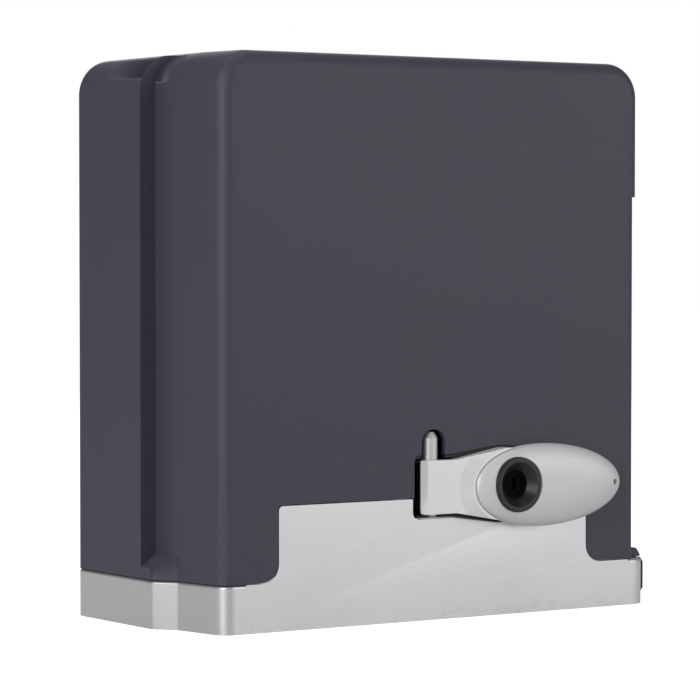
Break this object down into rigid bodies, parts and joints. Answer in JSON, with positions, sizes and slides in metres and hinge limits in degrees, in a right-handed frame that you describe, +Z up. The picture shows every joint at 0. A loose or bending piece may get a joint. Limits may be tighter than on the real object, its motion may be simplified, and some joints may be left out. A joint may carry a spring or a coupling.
{
  "type": "sliding gate motor",
  "caption": "Compact sliding gate motor: dark moulded cover on a light grey cast base, keyed release lever in front and a rack pinion behind.",
  "frame": {"origin": "middle of the four fixing slots in plan, on the underside of the base", "axes": "+Z up, +X to the right along the gate as seen from the lever side, +Y to the back, towards the pinion and the gate; the output shaft lies along Y"},
  "size_m": [0.2997, 0.1854, 0.3023],
  "materials": {
    "grey_paint": "light grey powder coat, fine orange peel, satin",
    "cover_grey": "dark blue-grey moulded plastic, fine spark texture",
    "lever_grey": "grey painted die casting, smooth satin",
    "shell_grey": "grey moulded plastic, smooth satin",
    "black_plastic": "black moulded plastic",
    "bright_steel": "turned and ground steel",
    "gear_steel": "hobbed steel, lightly oiled",
    "zinc_steel": "zinc plated fasteners",
    "wheel_bronze": "machined gear bronze",
    "bare_aluminium": "as cast and machined aluminium",
    "lamination_steel": "stacked electrical sheet, varnished",
    "copper_winding": "enamelled copper wire, varnished",
    "seal_rubber": "black nitrile rubber",
    "gasket_paper": "oiled gasket paper",
    "board_green": "solder mask over glass laminate",
    "tray_grey": "grey moulded tray",
    "terminal_green": "moulded terminal body",
    "relay_blue": "sealed relay case",
    "lock_black": "black lock ring, satin gloss",
    "lock_zinc": "dark nickel plated zinc",
    "can_aluminium": "drawn aluminium can",
    "fan_plastic": "moulded fan"
  },
  "bodies": {
    "base": {"base_housing": "grey_paint", "gearcase_cover": "grey_paint", "gearcase_gasket": "gasket_paper", "gearcase_screws": "zinc_steel", "output_bearings": "bright_steel", "output_seal": "seal_rubber", "worm_bearings": "bright_steel", "motor_flange": "bare_aluminium", "motor_stator": "lamination_steel", "motor_windings": "copper_winding", "motor_end_shield": "bare_aluminium", "motor_tie_bolts": "zinc_steel", "lock_keeper": "zinc_steel", "hinge_pin": "bright_steel", "lever_seat": "black_plastic", "seat_screws": "zinc_steel", "side_cap": "black_plastic", "board_tray": "tray_grey", "control_board": "board_green", "terminal_blocks": "terminal_green", "relays": "relay_blue", "fuse_holder": "black_plastic", "board_capacitors": "can_aluminium", "transformer": "lamination_steel", "motor_capacitor": "can_aluminium", "capacitor_clip": "zinc_steel", "limit_sensor": "black_plastic", "cable_grommet": "seal_rubber", "levelling_screws": "zinc_steel", "earth_screw": "zinc_steel"},
    "cover": {"cover_shell": "cover_grey", "cover_screw": "zinc_steel"},
    "output": {"output_shaft": "bright_steel", "output_pinion": "gear_steel", "pinion_key": "bright_steel", "pinion_washer": "zinc_steel", "pinion_screw": "zinc_steel", "clutch_spring": "bright_steel"},
    "wheel": {"worm_wheel": "wheel_bronze", "wheel_bush": "wheel_bronze"},
    "clutch": {"dog_clutch": "gear_steel", "clutch_pin": "bright_steel", "release_rod": "bright_steel"},
    "rotor": {"worm_shaft": "bright_steel", "rotor_core": "lamination_steel", "cooling_fan": "fan_plastic"},
    "lever": {"lever_body": "lever_grey", "lever_shell": "shell_grey", "lever_shell_screws": "zinc_steel", "lock_bezel": "lock_black", "lock_body": "lock_zinc"},
    "lock": {"lock_plug": "lock_zinc", "lock_cam": "zinc_steel", "lock_cam_screw": "zinc_steel"}
  },
  "joints": [
    {"name": "cover_lift", "type": "slide", "parent": "base", "child": "cover", "axis": [0, 0, 1], "range_m": [0, 0.3]},
    {"name": "output_spin", "type": "hinge", "parent": "base", "child": "output", "pos_m": [-0.0008, 0, 0.0717], "axis": [0, 1, 0], "continuous": true},
    {"name": "wheel_spin", "type": "hinge", "parent": "base", "child": "wheel", "pos_m": [-0.0008, -0.008, 0.0717], "axis": [0, 1, 0], "continuous": true},
    {"name": "clutch_slide", "type": "slide", "parent": "output", "child": "clutch", "axis": [0, 1, 0], "range_m": [0, 0.0034]},
    {"name": "motor_spin", "type": "hinge", "parent": "base", "child": "rotor", "pos_m": [0.0467, -0.008, 0.17], "axis": [0, 0, 1], "continuous": true},
    {"name": "lever_swing", "type": "hinge", "parent": "base", "child": "lever", "pos_m": [-0.0008, -0.0647, 0.0717], "axis": [0, 0, -1], "range_deg": [0, 90]},
    {"name": "key_turn", "type": "hinge", "parent": "lever", "child": "lock", "pos_m": [0.046, -0.072, 0.0717], "axis": [0, 1, 0], "range_deg": [0, 90]}
  ],
  "couplings": [
    {"joint": "wheel_spin", "follows": "output_spin", "ratio": 1},
    {"joint": "motor_spin", "follows": "output_spin", "ratio": 30},
    {"joint": "clutch_slide", "follows": "lever_swing", "m_per_rad": 0.0021645}
  ]
}
